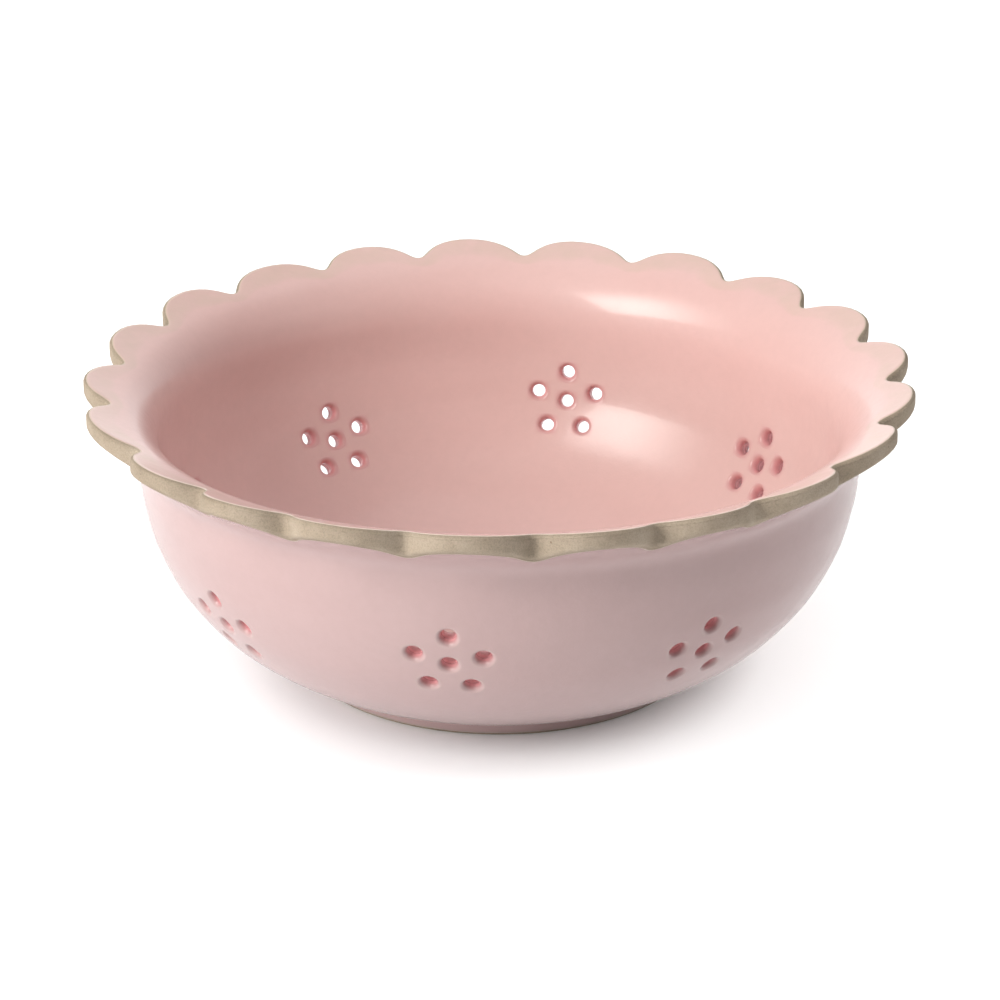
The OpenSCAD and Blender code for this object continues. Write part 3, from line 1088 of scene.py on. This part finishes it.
def graded(lamp, across, upwards):
    """Lets a soft box be dimmer away from its tube. Each of across and upwards is (from, to, low): full at from, low at to."""
    lamp.use_nodes = True
    nt = lamp.node_tree
    geo = nt.nodes.new("ShaderNodeNewGeometry")
    sep = nt.nodes.new("ShaderNodeSeparateXYZ")
    nt.links.new(geo.outputs["Parametric"], sep.inputs[0])
    both = nt.nodes.new("ShaderNodeMath")
    both.operation = "MULTIPLY"
    for i, (full, dim, low) in enumerate((across, upwards)):
        fall = nt.nodes.new("ShaderNodeMapRange")
        fall.interpolation_type = "SMOOTHSTEP"
        for key_, v in (("From Min", full), ("From Max", dim), ("To Min", 1.0), ("To Max", low)):
            fall.inputs[key_].default_value = v
        nt.links.new(sep.outputs[i], fall.inputs[0])
        nt.links.new(fall.outputs[0], both.inputs[i])
    nt.links.new(both.outputs[0], nt.nodes["Emission"].inputs["Strength"])


# a soft box in front, to the left of the camera
key = area("key", aim(-153, 37.5, 0.95), (0, 0, 0.04), (0.82, 0.62), 20.0, (0.98, 0.978, 0.935))
key.light_linking.receiver_collection = bowl_only
graded(key.data, (0.75, 0.05, 0.08), (0.5, 1.0, 0.1))
# the floor's own lights, all round and low enough to reach in under the bowl
for lamp_name, where, size, power in (("floor_front", aim(-93, 36, 1.3), (1.3, 0.8), 7.95),
                                      ("floor_left", aim(-165, 42, 1.4), (1.1, 0.9), 5.9),
                                      ("floor_right", aim(-15, 42, 1.4), (1.1, 0.9), 9.8),
                                      ("floor_low_left", aim(-162, 20, 1.3), (1.1, 0.5), 13.4),
                                      ("floor_low_right", aim(-22, 22, 1.3), (1.0, 0.5), 2.6),
                                      ("floor_back_left", aim(165, 38, 1.3), (1.1, 0.8), 6.2),
                                      ("floor_back_right", aim(15, 38, 1.3), (1.1, 0.8), 7.4)):
    low = area(lamp_name, where, (0, 0, 0.0), size, power, (0.98, 1.0, 1.0))
    low.light_linking.receiver_collection = floor_only
# the bowl's own: weak ones round the key, and one from above for both
area("top", aim(80, 70, 1.2), (0, 0, 0.03), (1.0, 0.8), 1.54)
for lamp_name, where, size, power in (("low_left", aim(-150, 6, 1.3), (0.8, 0.3), 9.6),
                                      ("high_front", aim(-100, 62, 1.2), (0.9, 0.6), 2.7),
                                      ("right", aim(-15, 30, 1.2), (0.8, 0.5), 3.1),
                                      ("high_right", aim(15, 62, 1.2), (0.9, 0.7), 2.1)):
    side = area(lamp_name, where, (0, 0, 0.02), size, power)
    side.light_linking.receiver_collection = bowl_only
    side.visible_glossy = False      # the key alone is mirrored in the glaze

world = bpy.data.worlds.new("studio")
bpy.context.scene.world = world
world.use_nodes = True
world.node_tree.nodes["Background"].inputs[0].default_value = (1, 0.958, 0.948, 1)
wnt = world.node_tree
direction = wnt.nodes.new("ShaderNodeTexCoord").outputs["Generated"]
total = None
# how bright the studio is on each side: a soft lobe about each direction
for axis, bright in (((0, 1, 0), 1.67), ((1, 0, 0), 0.02), ((0, -1, 0), 0.02)):
    dot = wnt.nodes.new("ShaderNodeVectorMath")
    dot.operation = "DOT_PRODUCT"
    dot.inputs[1].default_value = axis
    wnt.links.new(direction, dot.inputs[0])
    ahead = wnt.nodes.new("ShaderNodeMath")
    ahead.operation = "MAXIMUM"
    ahead.inputs[1].default_value = 0
    wnt.links.new(dot.outputs["Value"], ahead.inputs[0])
    lobe = wnt.nodes.new("ShaderNodeMath")
    lobe.operation = "POWER"
    lobe.inputs[1].default_value = 2
    wnt.links.new(ahead.outputs[0], lobe.inputs[0])
    sum_ = wnt.nodes.new("ShaderNodeMath")
    sum_.operation = "MULTIPLY_ADD"
    sum_.inputs[1].default_value = bright
    wnt.links.new(lobe.outputs[0], sum_.inputs[0])
    if total is None:
        sum_.inputs[2].default_value = 0
    else:
        wnt.links.new(total, sum_.inputs[2])
    total = sum_.outputs[0]
wnt.links.new(total, wnt.nodes["Background"].inputs[1])

# ------------------------------------------------------------------- camera
cam = bpy.data.cameras.new("camera")
cam.sensor_width, cam.sensor_fit = 36.0, "HORIZONTAL"
cam.lens = 138.63
cam.clip_start, cam.clip_end = 0.05, 50
camera = bpy.data.objects.new("camera", cam)
bpy.context.scene.collection.objects.link(camera)
e = math.radians(22.771)
fwd = Vector((0, math.cos(e), -math.sin(e)))
pos = Vector((0.000126, -0.93818 * math.cos(e), 0.93818 * math.sin(e) + 0.03972))
q = fwd.to_track_quat("-Z", "Y")
roll = Matrix.Rotation(math.radians(0.256), 4, fwd)
camera.matrix_world = Matrix.Translation(pos) @ roll @ q.to_matrix().to_4x4()
bpy.context.scene.camera = camera
bpy.context.scene.view_settings.view_transform = "Standard"
